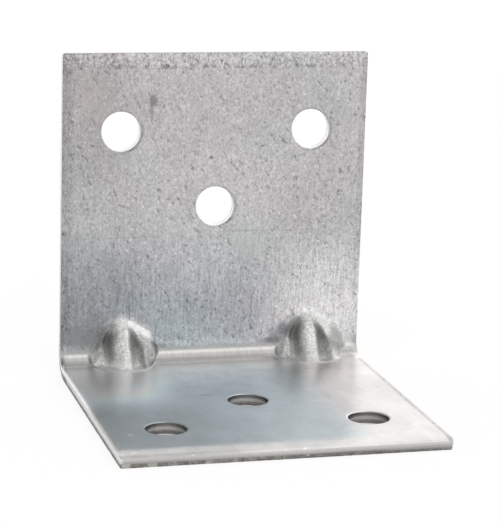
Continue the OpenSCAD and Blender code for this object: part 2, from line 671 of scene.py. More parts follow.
    def straight_steps(self, v_from: float, v_to: float, length: float) -> np.ndarray:
        """Places along a straight stretch of the outline, closer together in the bend.

        Args:
            v_from: Where the stretch begins, measured from the middle of the pattern.
            v_to: Where it ends, measured in the same way.
            length: Its length.

        Returns:
            Shares of the way, without its ends.
        """
        if v_from == v_to:
            return np.linspace(0.0, 1.0, int(length / self.edge_step) + 1)[1:-1]
        v = [v_from]
        step_sign = 1.0 if v_to > v_from else -1.0
        while abs(v_to - v[-1]) > self.edge_step * 1.5:
            pattern_v = v[-1] + self.run / 2
            in_bend = self.upright_run - 0.5 < pattern_v < self.base_start + 0.5
            v.append(v[-1] + step_sign * (self.bend_step if in_bend else self.edge_step))
        return (np.array(v[1:]) - v_from) / (v_to - v_from)

    def edge_loops(self) -> list[np.ndarray]:
        """Makes the loops round the blank's edge.

        Returns:
            Rows of u, v and d for each loop, from the inner face to the outer one.
        """
        corner, turn, end_share = self.outline()
        end_rows = self.end_cut.section(self.sheet_t)
        side_rows = self.side_cut.section(self.sheet_t)
        outward = np.stack([np.cos(turn), np.sin(turn)], 1)
        ring = corner + self.corner_r * outward
        middle = np.array([0.0, self.run / 2])
        lie = np.column_stack([ring + middle, np.zeros(len(ring))])
        wave = self.end_wave * relief(lie + 7.0, 2.6, 3)
        loops = []
        for number, (end, side) in enumerate(zip(end_rows, side_rows)):
            shrink = 1.0 - np.array([side[0], end[0]]) / np.abs(corner).max(0)
            flat = corner * shrink + self.corner_r * outward + middle
            depth = end[1] * end_share + side[1] * (1.0 - end_share)
            torn = number - self.end_cut.first_torn_row
            if torn >= -2:
                bottom_room = min(1.0, (len(end_rows) - 1 - number) / 3)
                depth = depth + wave * bottom_room * (0.5 if torn == -2 else 1.0)
            if torn > 0:
                lumps = np.column_stack([flat, depth * 1.4])
                rough = 0.5 + 0.5 * relief(lumps, 0.5)
                flat = flat - outward * (self.torn_relief * rough)[:, None]
            loops.append(np.column_stack([flat, np.clip(depth, 0.0, self.sheet_t)]))
        return loops

    def hole_loops(self, hole: ScrewHole) -> list[np.ndarray]:
        """Makes the loops down a hole's wall.

        Args:
            hole: The hole.

        Returns:
            Rows of u, v and d for each loop, from the inner face to the outer one.
        """
        turn = np.linspace(0.0, 2 * math.pi, hole.steps, endpoint=False)
        out = np.stack([np.cos(turn), np.sin(turn)], 1)
        rows = self.hole_cut.section(self.sheet_t)
        ring = np.column_stack([hole.u + hole.r * out[:, 0], hole.v + hole.r * out[:, 1], 0 * turn])
        wave = self.hole_wave * relief(ring + 3.0, 1.6)
        ragged = np.clip(relief(ring + 11.0, 0.7), -0.2, 1.0)
        low_side = np.clip(np.cos(turn - math.radians(self.sag_turn)), 0.0, 1.0) ** 0.7
        loops = []
        for number, (inset, depth) in enumerate(rows):
            radius = hole.r + inset + hole.sag * low_side**2
            depths = np.full(len(turn), depth)
            torn = number - self.hole_cut.first_torn_row
            if 0 <= torn < self.hole_cut.torn_rows:
                depths = depths + wave
            if torn >= 0:
                rough = 0.5 + 0.5 * relief(ring + depth * 2, 0.5)
                radius = radius - inset * 2 + self.bore_relief * rough
            if hole.burr and 0 < depth < 0.8:
                radius = radius - hole.burr * ragged * low_side
            centred = radius[:, None] * out
            flat = centred + [hole.u, hole.v]
            loops.append(np.column_stack([flat, np.clip(depths, 0.0, self.sheet_t)]))
        return loops

    def lattice(self, face: Face) -> np.ndarray:
        """Spreads points over a face: close on the ribs, wider in the bend and the plates.

        Args:
            face: Which of the two faces this is.

        Returns:
            The points, as rows of u and v.
        """
        coarse = 1.0 if face is Face.INNER else self.outer_coarseness
        bend_low, bend_high = self.upright_run - self.bend_margin, self.base_start + self.bend_margin
        rib_low, rib_high = self.upright_run - self.rib_mesh_rise, self.base_start + self.rib_mesh_foot

        def grid(low: tuple[float, float], high: tuple[float, float],
                 step_u: float, step_v: float) -> np.ndarray:
            """Staggered rows of points that fill a box of the pattern.

            Args:
                low: The box's least u and v.
                high: The box's largest u and v.
                step_u: Spacing along a row.
                step_v: Spacing of the rows.

            Returns:
                The points, one row each.
            """
            rows = int(round((high[1] - low[1]) / step_v)) + 1
            made = []
            for row, v in enumerate(np.linspace(low[1], high[1], rows)):
                shift = step_u / 2 if row % 2 else 0.0
                across = np.arange(low[0] + shift, high[0] + 1e-6, step_u)
                made.append(np.column_stack([across, np.full(len(across), v)]))
            return np.concatenate(made)

        half = self.width / 2
        plate = grid((-half, 0.0), (half, self.run), self.plate_step, self.plate_step * ROW_PITCH)
        bend = grid((-half, bend_low), (half, bend_high), self.bend_side_step, self.bend_step * coarse)
        in_bend = (plate[:, 1] > bend_low - 0.3) & (plate[:, 1] < bend_high + 0.3)
        points, kept_bend = [plate[~in_bend]], bend
        for rib in self.ribs:
            reach = self.rib_mesh_reach
            step = self.rib_step * coarse
            low, high = (rib.place - reach, rib_low), (rib.place + reach, rib_high)
            fine = grid(low, high, step, step * ROW_PITCH)

            def clear(rows: np.ndarray, gap: float) -> np.ndarray:
                """The rows that lie outside the fine box by the gap.

                Args:
                    rows: Points of the pattern.
                    gap: Clear distance in millimetres.

                Returns:
                    Those of the points that stay.
                """
                inside = (np.abs(rows[:, 0] - rib.place) < reach + gap)
                inside &= (rows[:, 1] > rib_low - gap) & (rows[:, 1] < rib_high + gap)
                return rows[~inside]

            points = [clear(rows, self.rib_gap) for rows in points]
            kept_bend = clear(kept_bend, self.rib_bend_gap)
            points.append(fine)
        return np.concatenate([*points, kept_bend])

    def fill_face(self, draft: MeshDraft, face: Face, edge: np.ndarray, rims: list[np.ndarray]) -> None:
        """Triangulates one face between the edge loop and the hole rims.

        Args:
            draft: The mesh that is being put together.
            face: Which of the two faces this is.
            edge: Point numbers of the loop at the blank's edge.
            rims: Point numbers of the loop at each hole.
        """
        known = np.concatenate(draft.flat)
        depth = 0.0 if face is Face.INNER else self.sheet_t
        inside = self.lattice(face)
        low, high = known[edge][:, :2].min(0), known[edge][:, :2].max(0)
        keep = np.all((inside > low + self.face_gap) & (inside < high - self.face_gap), axis=1)
        for hole, rim in zip(self.holes, rims):
            radius = np.hypot(*(known[rim][:, :2] - [hole.u, hole.v]).T).max()
            keep &= np.hypot(inside[:, 0] - hole.u, inside[:, 1] - hole.v) > radius + self.face_gap
        inside = inside[keep]
        inside_numbers = draft.add_points(np.column_stack([inside, np.full(len(inside), depth)]))
        numbers = np.concatenate([edge, *rims, inside_numbers])
        points = np.concatenate([known[np.concatenate([edge, *rims])][:, :2], inside])
        edges, start = [], 0
        for loop in [edge, *rims]:
            ring = np.arange(start, start + len(loop))
            edges += [(int(a), int(b)) for a, b in zip(ring, np.roll(ring, -1))]
            start += len(loop)
        made, _, faces, *_ = delaunay_2d_cdt([Vector(p) for p in points], edges, [], INNER_TRIANGLES, WELD)
        if len(made) != len(points):
            raise ValueError(f"the {face.name} face has points that coincide")
        faces = np.array(faces)
        centres = points[faces].mean(1)
        solid = np.ones(len(faces), bool)
        for hole, rim in zip(self.holes, rims):
            solid &= ~hole.holds(centres, known[rim][:, :2])
        corners = numbers[faces[solid]]
        draft.add_triangles(corners if face is Face.INNER else corners[:, ::-1], 0.0)

    def build(self) -> bpy.types.Object:
        """Builds the sheet's mesh and its attributes.

        Returns:
            The new object.
        """
        draft = MeshDraft()
        edge_rows = [draft.add_points(loop) for loop in self.edge_loops()]
        for number, (first, second) in enumerate(zip(edge_rows, edge_rows[1:])):
            draft.add_strip(second, first, float(number >= self.end_cut.first_cut_row))
        rim_rows = []
        for hole in self.holes:
            rows = [draft.add_points(loop) for loop in self.hole_loops(hole)]
            for number, (first, second) in enumerate(zip(rows, rows[1:])):
                draft.add_strip(first, second, float(number >= self.hole_cut.first_cut_row))
            rim_rows.append(rows)
        self.fill_face(draft, Face.INNER, edge_rows[0], [rows[0] for rows in rim_rows])
        self.fill_face(draft, Face.OUTER, edge_rows[-1], [rows[-1] for rows in rim_rows])
        return self.to_object(draft)

    def to_object(self, draft: MeshDraft) -> bpy.types.Object:
        """Turns the draft into a Blender object in the shared frame.

        Args:
            draft: The finished draft of the mesh.

        Returns:
            The new object.
        """
        flat = np.concatenate(draft.flat)
        triangles = np.concatenate(draft.triangles)
        points, shares = self.place(flat)
        mesh = bpy.data.meshes.new("folded_sheet")
        mesh.from_pydata(points.tolist(), [], triangles.tolist())
        pattern = mesh.attributes.new(FLAT_ATTRIBUTE, "FLOAT_VECTOR", "POINT")
        pattern.data.foreach_set("vector", flat.astype(np.float32).ravel())
        for name, values in shares.items():
            share = mesh.attributes.new(name, "FLOAT", "POINT")
            share.data.foreach_set("value", values.astype(np.float32))
        cut = mesh.attributes.new(CUT_ATTRIBUTE, "FLOAT", "FACE")
        cut.data.foreach_set("value", np.concatenate(draft.cut).astype(np.float32))
        mesh.polygons.foreach_set("use_smooth", np.ones(len(triangles), bool))
        mesh.set_sharp_from_angle(angle=math.radians(self.sharp_turn))
        mesh.update()
        sheet = bpy.data.objects.new("folded_sheet", mesh)
        bpy.context.scene.collection.objects.link(sheet)
        return sheet

    def dress(self, sheet: bpy.types.Object, finish: "GalvanisedFinish") -> None:
        """Gives the sheet its finish, and lets it stand for the bracket.

        Args:
            sheet: The sheet's object.
            finish: The finish that it gets.
        """
        sheet.data.materials.append(finish.material(self))
        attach(sheet, "root")
        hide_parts("bracket")


@dataclass(frozen=True)
class Grain:
    """A noise over the pattern: lumps per millimetre along its three axes, and how it is layered."""

    scale: tuple[float, float, float]
    detail: float = 1.0
    roughness: float = 0.5
    distortion: float = 0.3
    seed: float = 0.0


class Signal:
    """One output of a shader node, on which arithmetic adds Math nodes."""

    BAND_CORE = 0.35

    def __init__(self, graph: "ShaderGraph", socket: bpy.types.NodeSocket) -> None:
        """Keeps an output.

        Args:
            graph: The graph that its arithmetic is added to.
            socket: The output.
        """
        self.graph = graph
        self.socket = socket

    def math(self, operation: str, *operands: "Signal | float") -> "Signal":
        """Adds a Math node.

        Args:
            operation: What the node does.
            operands: Its inputs, in order.

        Returns:
            The result.
        """
        return self.graph.signal("ShaderNodeMath", {"operation": operation}, dict(enumerate(operands)))

    def __add__(self, other: "Signal | float") -> "Signal":
        """self + other."""
        return self.math("ADD", self, other)

    def __radd__(self, other: float) -> "Signal":
        """other + self."""
        return self.math("ADD", other, self)

    def __sub__(self, other: "Signal | float") -> "Signal":
        """self - other."""
        return self.math("SUBTRACT", self, other)

    def __rsub__(self, other: float) -> "Signal":
        """other - self."""
        return self.math("SUBTRACT", other, self)

    def __mul__(self, other: "Signal | float") -> "Signal":
        """self * other."""
        return self.math("MULTIPLY", self, other)

    def __rmul__(self, other: float) -> "Signal":
        """other * self."""
        return self.math("MULTIPLY", other, self)

    def __truediv__(self, other: "Signal | float") -> "Signal":
        """self / other."""
        return self.math("DIVIDE", self, other)

    def __pow__(self, other: "Signal | float") -> "Signal":
        """self ** other."""
        return self.math("POWER", self, other)

    def __abs__(self) -> "Signal":
        """Distance of the value from zero."""
        return self.math("ABSOLUTE", self)

    def clamp(self) -> "Signal":
        """The value, held between 0 and 1."""
        return self.graph.signal("ShaderNodeClamp", {}, {"Value": self})

    def step(self, low: float, high: float) -> "Signal":
        """Rises smoothly from 0 to 1.

        Args:
            low: The value where the rise begins.
            high: The value where it ends, which may be the smaller one.

        Returns:
            The share that is reached.
        """
        if low > high:
            return 1.0 - self.step(high, low)
        return self.graph.signal(
            "ShaderNodeMapRange", {"interpolation_type": "SMOOTHSTEP"},
            {"Value": self, "From Min": low, "From Max": high})

    def band(self, middle: float, half: float) -> "Signal":
        """A soft bump: 1 near a value and 0 away from it.

        Args:
            middle: The value.
            half: How far the bump reaches either way.

        Returns:
            The share, from 0 to 1.
        """
        return abs(self - middle).step(half, half * self.BAND_CORE)


class ShaderGraph:
    """Adds nodes to a material's or a world's node tree."""

    MIX_FACTOR, MIX_A, MIX_B, MIX_RESULT = 0, 6, 7, 2

    def __init__(self, tree: bpy.types.NodeTree) -> None:
        """Empties a tree.

        Args:
            tree: The tree that the nodes are added to.
        """
        self.tree = tree
        tree.nodes.clear()

    def node(self, kind: str, settings: dict, inputs: dict) -> bpy.types.Node:
        """Adds a node.

        Args:
            kind: The node's type.
            settings: Properties that are set first.
            inputs: Values, signals or outputs for its sockets, by name or number.

        Returns:
            The new node.
        """
        made = self.tree.nodes.new(kind)
        for name, value in settings.items():
            setattr(made, name, value)
        for key, value in inputs.items():
            socket = made.inputs[key]
            if isinstance(value, Signal):
                self.tree.links.new(value.socket, socket)
            elif isinstance(value, bpy.types.NodeSocket):
                self.tree.links.new(value, socket)
            elif socket.type == "RGBA" and len(value) == 3:
                socket.default_value = (*value, 1.0)
            else:
                socket.default_value = value
        return made

    def signal(self, kind: str, settings: dict, inputs: dict, output: int | str = 0) -> Signal:
        """Adds a node and wraps one of its outputs.

        Args:
            kind: The node's type.
            settings: Properties that are set first.
            inputs: Values, signals or outputs for its sockets, by name or number.
            output: Name or number of the output.

        Returns:
            That output.
        """
        return Signal(self, self.node(kind, settings, inputs).outputs[output])

    def attribute(self, name: str, output: str = "Fac") -> Signal:
        """Reads an attribute of the mesh.

        Args:
            name: The attribute's name.
            output: The node's output, Fac for a number and Vector for a vector.

        Returns:
            The attribute's value.
        """
        return self.signal("ShaderNodeAttribute", {"attribute_name": name}, {}, output)

    def parts(self, vector: Signal) -> tuple[Signal, Signal, Signal]:
        """Splits a vector.

        Args:
            vector: The vector.

        Returns:
            Its three components.
        """
        split = self.node("ShaderNodeSeparateXYZ", {}, {0: vector})
        x, y, z = (Signal(self, socket) for socket in split.outputs)
        return x, y, z

    def noise(self, vector: Signal, grain: Grain) -> Signal:
        """Noise around 0, mostly from -0.5 to 0.5.

        Args:
            vector: The position, in millimetres.
            grain: Its lumps and layers.

        Returns:
            The noise as a signal.
        """
        shift = (grain.seed, grain.seed * 1.7, grain.seed * 0.3)
        place = self.signal(
            "ShaderNodeVectorMath", {"operation": "MULTIPLY_ADD"}, {0: vector, 1: grain.scale, 2: shift})
        inputs = {
            "Vector": place, "Scale": 1.0, "Detail": grain.detail, "Roughness": grain.roughness,
            "Distortion": grain.distortion,
        }
        return self.signal("ShaderNodeTexNoise", {}, inputs) - 0.5

    def mix(self, factor: Signal, first: "Signal | Colour", second: "Signal | Colour",
            blend: str = "MIX") -> Signal:
        """Mixes two colours.

        Args:
            factor: Share of the second colour.
            first: The first colour.
            second: The second colour.
            blend: How the second goes onto the first.

        Returns:
            The mixed colour.
        """
        return self.signal(
            "ShaderNodeMix", {"data_type": "RGBA", "blend_type": blend, "clamp_factor": True},
            {self.MIX_FACTOR: factor, self.MIX_A: first, self.MIX_B: second}, self.MIX_RESULT)

    def shade(self, colour: "Signal | Colour", tone: Signal) -> Signal:
        """Makes a colour lighter or darker.

        Args:
            colour: The colour.
            tone: What each of its channels is multiplied by.

        Returns:
            The new colour.
        """
        grey = self.signal("ShaderNodeCombineXYZ", {}, {0: tone, 1: tone, 2: tone})
        return self.signal("ShaderNodeVectorMath", {"operation": "MULTIPLY"}, {0: colour, 1: grey})


@dataclass(frozen=True)
class Patch:
    """A soft-edged stretch of the sheet that is lighter, darker or rougher than the rest.

    Each ramp is the place where the patch begins and the place where it is full.
    """

    strength: float
    across: tuple[Ramp, ...] = ()
    down: tuple[Ramp, ...] = ()


LOW_WALL = ((21.0, 34.0), (38.3, 37.3))

# Painted light and shade on the upright: lighter low on the right, darker low on the left and middle, at
# the upper left and a little at the top, and lighter half way down in the middle.
WALL_PAINTED_LIGHT = (
    Patch(0.5, across=((4.0, 16.0),), down=LOW_WALL),
    Patch(-0.34, across=((-3.0, -16.0),), down=LOW_WALL),
    Patch(-0.1, across=((-7.0, -1.8), (9.0, 3.8)), down=LOW_WALL),
    Patch(-0.03, down=((13.0, 5.0),)),
    Patch(-0.14, across=((-8.0, -16.0),), down=((22.0, 12.0),)),
    Patch(0.07, across=((-12.0, -4.2), (12.0, 4.2)), down=((10.0, 18.0), (32.0, 26.0))),
)
# Painted shade along the upright's two side edges.
PAINTED_EDGE_SHADE = (Patch(0.17, across=((-18.2, -19.4),)), Patch(0.119, across=((18.9, 19.3),)))
# Painted light on the base near the bend, and painted shade at its front left.
BASE_PAINTED_LIGHT = (
    Patch(0.34, down=((12.0, 2.0),)),
    Patch(0.187, down=((5.0, 0.0),)),
    Patch(-0.26, across=((-2.0, -12.0),), down=((8.0, 18.0),)),
)
# Painted light on the base at the far left near the bend, and painted shade at its right near the bend.
BASE_PAINTED_GLOW = (
    Patch(0.72, across=((-6.0, -13.0),), down=((22.0, 11.0),)),
    Patch(-0.3, across=((10.0, 16.0),), down=((8.0, 2.0),)),
)
BASE_ROUGH = (Patch(0.08, down=((8.0, 1.0),)), Patch(-0.02, down=((10.0, 18.0),)))
# Painted highlight along the rolled-over front edge, on its left part.
LIP_PAINTED_LIGHT = (Patch(0.14, across=((2.0, -5.0),)), Patch(0.14, across=((-5.0, -14.0),)))

STREAK = Grain((3.8, 0.42, 0.2), 2.0, 0.6, 0.25, 5.0)
SPECK = Grain((3.1, 2.0, 1.0), 2.0, 0.62, 0.7, 11.0)
PITS = Grain((2.9, 2.3, 1.0), seed=23.0)
CLOUD = Grain((0.16, 0.13, 0.2), 3.0, 0.55, 0.6, 31.0)
DRIFT = Grain((0.5, 0.34, 0.3), 2.0, 0.5, 0.8, 41.0)
GLINTS = Grain((3.3, 2.1, 1.0), distortion=0.2, seed=53.0)
BAND_BREAKS = Grain((1.1, 0.6, 0.3), 2.0, 0.6, 0.0, 61.0)
HATCH = Grain((5.5, 5.5, 0.7), 2.0, 0.6, 0.0, 71.0)
TEAR = Grain((1.6, 1.6, 2.2), 3.0, 0.65, 0.5, 83.0)
TORN_BREAKS = Grain((0.6, 0.6, 0.5), 3.0, 0.65, 0.4, 97.0)
GRIT = Grain((5.2, 4.4, 1.0), 2.0, 0.6, 0.3, 111.0)
HUE = Grain((0.11, 0.09, 0.1), 2.0, 0.5, 0.4, 131.0)
FINE = Grain((6.2, 3.6, 1.0), seed=151.0)
DASHES = Grain((0.8, 2.0, 1.0), seed=171.0)
NICKS = Grain((1.0, 1.0, 1.0), seed=191.0)


class SheetSignals:
    """Where a point of the sheet lies, and the grains that its finish is mixed from.

    u, v and d are its places on the pattern in millimetres. out and back are its distances along
    the base from the end of the bend and from the front edge.
    """

    def __init__(self, graph: ShaderGraph, sheet: FoldedSheet) -> None:
        """Reads the mesh's attributes and makes the grains.

        Args:
            graph: The graph that the nodes are added to.
            sheet: The sheet, for the places of its bend and edges.
        """
        self.graph = graph
        self.sheet = sheet
        self.flat = graph.attribute(FLAT_ATTRIBUTE, "Vector")
        self.u, self.v, self.d = graph.parts(self.flat)
        self.out = self.v - sheet.base_start
        self.back = sheet.run - self.v
        self.strain = graph.attribute(STRAIN_ATTRIBUTE)
        self.flute = graph.attribute(FLUTE_ATTRIBUTE)
        self.crease = graph.attribute(CREASE_SHADE_ATTRIBUTE)
        self.wing = graph.attribute(WING_ATTRIBUTE)
        self.lobe = graph.attribute(LOBE_ATTRIBUTE)
        self.cut = graph.attribute(CUT_ATTRIBUTE)

        self.wall = self.v.step(sheet.base_start, sheet.upright_run)
        self.base = 1.0 - self.wall
        self.inner = self.d.step(0.8, 0.4)
        self.bend = self.v.step(sheet.upright_run - 0.3, sheet.upright_run + 0.2)
        self.bend = self.bend * self.out.step(0.8, -1.3) * (1.0 - self.strain)
        self.end_band = self.v.step(2.0, 1.5)
        self.rolled = self.back.step(3.4, 0.9)
        self.far_left = self.u.step(-12.0, -15.5)
        self.bore = abs(self.u).step(18.6, 18.2) * self.v.step(0.6, 1.0) * self.back.step(0.6, 1.0)

        self.streak = self.noise(STREAK)
        self.speck = self.noise(SPECK)
        self.cloud = self.noise(CLOUD)
        self.drift = self.noise(DRIFT)
        self.grit = self.noise(GRIT)
        self.hatch = self.noise(HATCH)
        self.tear = self.noise(TEAR)
        self.brushed = self.streak * (0.35 + 0.65 * self.v.step(18.0, 32.0))
        self.pits = (self.noise(PITS) + self.cloud * 0.45).step(0.14, 0.22)
        slanted = {0: (self.u + self.v) * 0.75, 1: (self.u - self.v * 0.9) * 1.7}
        slanted_flat = graph.signal("ShaderNodeCombineXYZ", {}, slanted)
        self.nicks = graph.noise(slanted_flat, NICKS).step(0.163, 0.223)

    def noise(self, grain: Grain) -> Signal:
        """A noise over the pattern."""
        return self.graph.noise(self.flat, grain)

    def patches(self, patches: tuple[Patch, ...], down: Signal) -> Signal:
        """Adds patches up.

        Args:
            patches: The patches.
            down: The distance that their ramps down the sheet are measured in.

        Returns:
            The sum of their strengths at each point.
        """
        total = 0.0
        for patch in patches:
            ramps = [self.u.step(*ramp) for ramp in patch.across]
            ramps += [down.step(*ramp) for ramp in patch.down]
            total = math.prod(ramps, start=patch.strength) + total
        return total


@dataclass(frozen=True)
class MarkOrPaintedLight:
    """A mark on the inner face: its middle and half sizes on the pattern, and its look.

    Some marks are painted shade or painted highlights rather than stains.
    """

    u: float
    v: float
    half_u: float
    half_v: float
    tint: Colour
    share: float
    ragged: float = 0.35

    def cover(self, on: SheetSignals) -> Signal:
        """How far the mark covers the zinc: full in its middle, with a ragged edge.

        Args:
            on: The sheet's signals.

        Returns:
            The share, from 0 to 1.
        """
        off_u = (on.u - self.u) / self.half_u
        off_v = (on.v - self.v) / self.half_v
        away = (off_u * off_u + off_v * off_v) ** 0.5
        away = away + on.drift * self.ragged * 2.0 + on.speck * self.ragged
        return away.step(1.1, 0.35) * self.share * on.inner


GREENISH = (0.58, 0.64, 0.61)
BROWNISH = (0.55, 0.50, 0.45)
DARK = (0.22, 0.23, 0.24)
PALE = (0.80, 0.80, 0.80)

MARKS_AND_PAINTED_LIGHT = (
    MarkOrPaintedLight(-16.4, 5.6, 2.6, 3.6, BROWNISH, 0.35),
    MarkOrPaintedLight(-14.2, 8.6, 2.0, 2.6, BROWNISH, 0.18),
    MarkOrPaintedLight(-8.35, 6.1, 0.55, 0.8, DARK, 0.75, 0.8),
    MarkOrPaintedLight(-8.55, 7.9, 0.32, 1.9, DARK, 0.55, 0.9),
    MarkOrPaintedLight(4.4, 24.8, 3.4, 3.0, GREENISH, 0.4),
    MarkOrPaintedLight(-0.65, 13.5, 0.36, 0.26, DARK, 0.85),
    MarkOrPaintedLight(6.1, 12.1, 0.34, 0.2, DARK, 0.8),
    MarkOrPaintedLight(16.6, 18.2, 0.26, 0.3, DARK, 0.8),
    MarkOrPaintedLight(16.6, 1.6, 0.75, 0.3, DARK, 0.5),
    MarkOrPaintedLight(-13.0, 50.0, 2.6, 2.2, (0.60, 0.56, 0.53), 0.35),
    # Painted shade low on the upright, left of the left rib.
    MarkOrPaintedLight(-15.9, 35.2, 2.4, 2.2, (0.27, 0.27, 0.28), 0.5),
    # Painted shade left of the right rib, near the bend.
    MarkOrPaintedLight(9.6, 36.7, 1.1, 1.5, (0.17, 0.17, 0.185), 0.75, 0.2),
    MarkOrPaintedLight(8.4, 38.0, 1.5, 0.8, (0.17, 0.17, 0.185), 0.7, 0.2),
    MarkOrPaintedLight(8.3, 36.9, 1.2, 0.9, (0.2, 0.2, 0.22), 0.45, 0.2),
    # Painted light on the base in front of each rib.
    MarkOrPaintedLight(-12.4, 46.6, 4.6, 3.6, (0.86, 0.87, 0.87), 0.42, 0.2),
    MarkOrPaintedLight(12.6, 45.8, 4.2, 3.0, (0.84, 0.85, 0.86), 0.12, 0.2),
    MarkOrPaintedLight(-17.2, 69.6, 0.42, 0.7, PALE, 0.6),
    # Painted shade low on the upright's left, beside the left rib.
    MarkOrPaintedLight(-17.7, 37.0, 2.5, 2.3, (0.25, 0.255, 0.27), 0.8, 0.3),
    MarkOrPaintedLight(-15.6, 37.0, 2.2, 2.4, (0.24, 0.245, 0.24), 0.75, 0.3),
    # Painted shade right of the right rib at the bend, and a painted highlight at the bend's right end.
    MarkOrPaintedLight(16.6, 38.9, 1.15, 3.2, (0.3, 0.31, 0.3), 0.68, 0.3),
    MarkOrPaintedLight(18.6, 38.3, 1.0, 1.0, (0.9, 0.9, 0.89), 0.6, 0.2),
    # Painted highlights on the base where it leaves the bend.
    MarkOrPaintedLight(-14.4, 42.4, 3.4, 1.4, (0.92, 0.92, 0.91), 0.75, 0.2),
    MarkOrPaintedLight(11.6, 42.0, 2.0, 0.7, (0.9, 0.9, 0.89), 0.4, 0.2),
    # Painted shade on the left side of each rib.
    MarkOrPaintedLight(-14.0, 37.0, 1.5, 2.9, (0.2, 0.21, 0.195), 0.45, 0.3),
    MarkOrPaintedLight(11.1, 36.8, 1.5, 2.7, (0.2, 0.21, 0.195), 0.62, 0.3),
    # Painted shade along the top of the bend, beside the ribs.
    MarkOrPaintedLight(-7.0, 38.2, 1.6, 0.45, DARK, 0.6),
    MarkOrPaintedLight(7.6, 38.1, 1.8, 0.5, DARK, 0.55),
    MarkOrPaintedLight(3.7, 23.2, 3.4, 0.17, (0.36, 0.36, 0.37), 0.4, 0.25),
    MarkOrPaintedLight(-12.7, 23.7, 6.2, 0.15, (0.36, 0.36, 0.37), 0.35, 0.3),
    MarkOrPaintedLight(-11.05, 33.3, 0.13, 1.7, DARK, 0.6, 0.1),
    MarkOrPaintedLight(16.2, 4.6, 0.16, 2.3, PALE, 0.5, 0.1),
    MarkOrPaintedLight(17.9, 15.3, 0.28, 0.45, DARK, 0.6),
    MarkOrPaintedLight(16.7, 15.6, 0.2, 0.6, DARK, 0.6),
    MarkOrPaintedLight(18.5, 8.2, 0.3, 0.3, DARK, 0.7),
    MarkOrPaintedLight(-4.7, 55.4, 0.75, 0.35, (0.35, 0.37, 0.40), 0.5),
)


